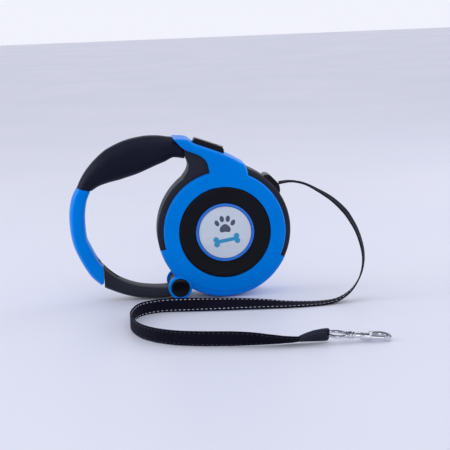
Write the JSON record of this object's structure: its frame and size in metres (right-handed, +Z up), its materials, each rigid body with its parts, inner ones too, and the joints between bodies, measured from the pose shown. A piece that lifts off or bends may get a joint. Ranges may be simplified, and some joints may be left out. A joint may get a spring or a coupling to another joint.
{
  "type": "retractable leash",
  "caption": "Retractable flat-tape leash: round reel case with hand loop, brake button, hinged loop gate and free tape ending in a swivel snap hook.",
  "frame": {"origin": "on the surface the case stands on, halfway along the case and hand loop, in the middle plane of its thickness", "axes": "+Z up, +X from the hand loop towards the tape nozzle, -Y is the front"},
  "size_m": [0.2396, 0.1942, 0.1363],
  "materials": {
    "blue_shell": "bright blue moulded ABS, semi-gloss",
    "black_shell": "charcoal moulded ABS, satin",
    "soft_grip": "soft-touch overmould, matt",
    "face_gloss": "near-black polished plastic",
    "badge": "pearl white printed disc, domed and clear coated",
    "bezel": "polished blue bezel",
    "reel_nylon": "natural nylon",
    "webbing": "black woven nylon tape with reflective white edge stitching",
    "sleeve": "black folded leather sleeve",
    "steel": "zinc plated steel",
    "spring_steel": "blued spring steel",
    "hook_chrome": "chrome plated zinc die casting",
    "bronze": "sintered bronze"
  },
  "bodies": {
    "case": {"front_casing": "black_shell", "back_casing": "black_shell", "front_cover": "blue_shell", "back_cover": "blue_shell", "front_side_disc": "face_gloss", "back_side_disc": "face_gloss", "front_badge_ring": "bezel", "back_badge_ring": "bezel", "front_badge": "badge", "back_badge": "badge", "grip": "soft_grip", "bow": "blue_shell", "bow_pin": "steel", "nozzle_guide": "face_gloss", "tape_lead": "webbing", "spindle": "steel", "gate_pin": "steel", "front_pivot_cap": "face_gloss", "back_pivot_cap": "face_gloss", "brake_spring": "spring_steel", "case_screw_1": "steel", "case_screw_2": "steel", "case_screw_3": "steel", "case_screw_4": "steel", "case_screw_5": "steel", "free_tape": "webbing", "tape_sleeve": "sleeve", "swivel_eye": "hook_chrome"},
    "reel": {"reel": "reel_nylon", "hub_bush": "bronze", "power_spring": "spring_steel", "spring_cover": "reel_nylon", "wound_tape": "webbing"},
    "brake_button": {"brake_button": "face_gloss", "brake_pawl": "steel"},
    "brake_lock": {"brake_lock": "steel"},
    "gate": {"gate_arm": "black_shell"},
    "gate_catch": {"gate_catch": "face_gloss"},
    "hook": {"hook_body": "hook_chrome"},
    "hook_bolt": {"hook_bolt": "hook_chrome"}
  },
  "joints": [
    {"name": "reel_spin", "type": "hinge", "parent": "case", "child": "reel", "pos_m": [0.03575, 0, 0.0555], "axis": [0, 1, 0], "continuous": true},
    {"name": "brake_press", "type": "slide", "parent": "case", "child": "brake_button", "axis": [-0.357, 0, -0.9341], "range_m": [0, 0.003], "stiffness_N_per_m": 400, "springref_m": -0.002},
    {"name": "lock_slide", "type": "slide", "parent": "brake_button", "child": "brake_lock", "axis": [-0.9341, 0, 0.357], "range_m": [0, 0.0026]},
    {"name": "gate_swing", "type": "hinge", "parent": "case", "child": "gate", "pos_m": [-0.00295, 0, 0.0107], "axis": [0, 1, 0], "range_deg": [0, 40]},
    {"name": "catch_slide", "type": "slide", "parent": "gate", "child": "gate_catch", "axis": [1, 0, 0], "range_m": [0, 0.0025], "stiffness_N_per_m": 250, "springref_m": -0.001},
    {"name": "hook_swivel", "type": "hinge", "parent": "case", "child": "hook", "pos_m": [0.0992, -0.1669, 0.0058], "axis": [0.9883, -0.1249, -0.0872], "continuous": true},
    {"name": "bolt_slide", "type": "slide", "parent": "hook", "child": "hook_bolt", "axis": [-0.9883, 0.1249, 0.0872], "range_m": [0, 0.0042], "stiffness_N_per_m": 250, "springref_m": -0.001}
  ]
}
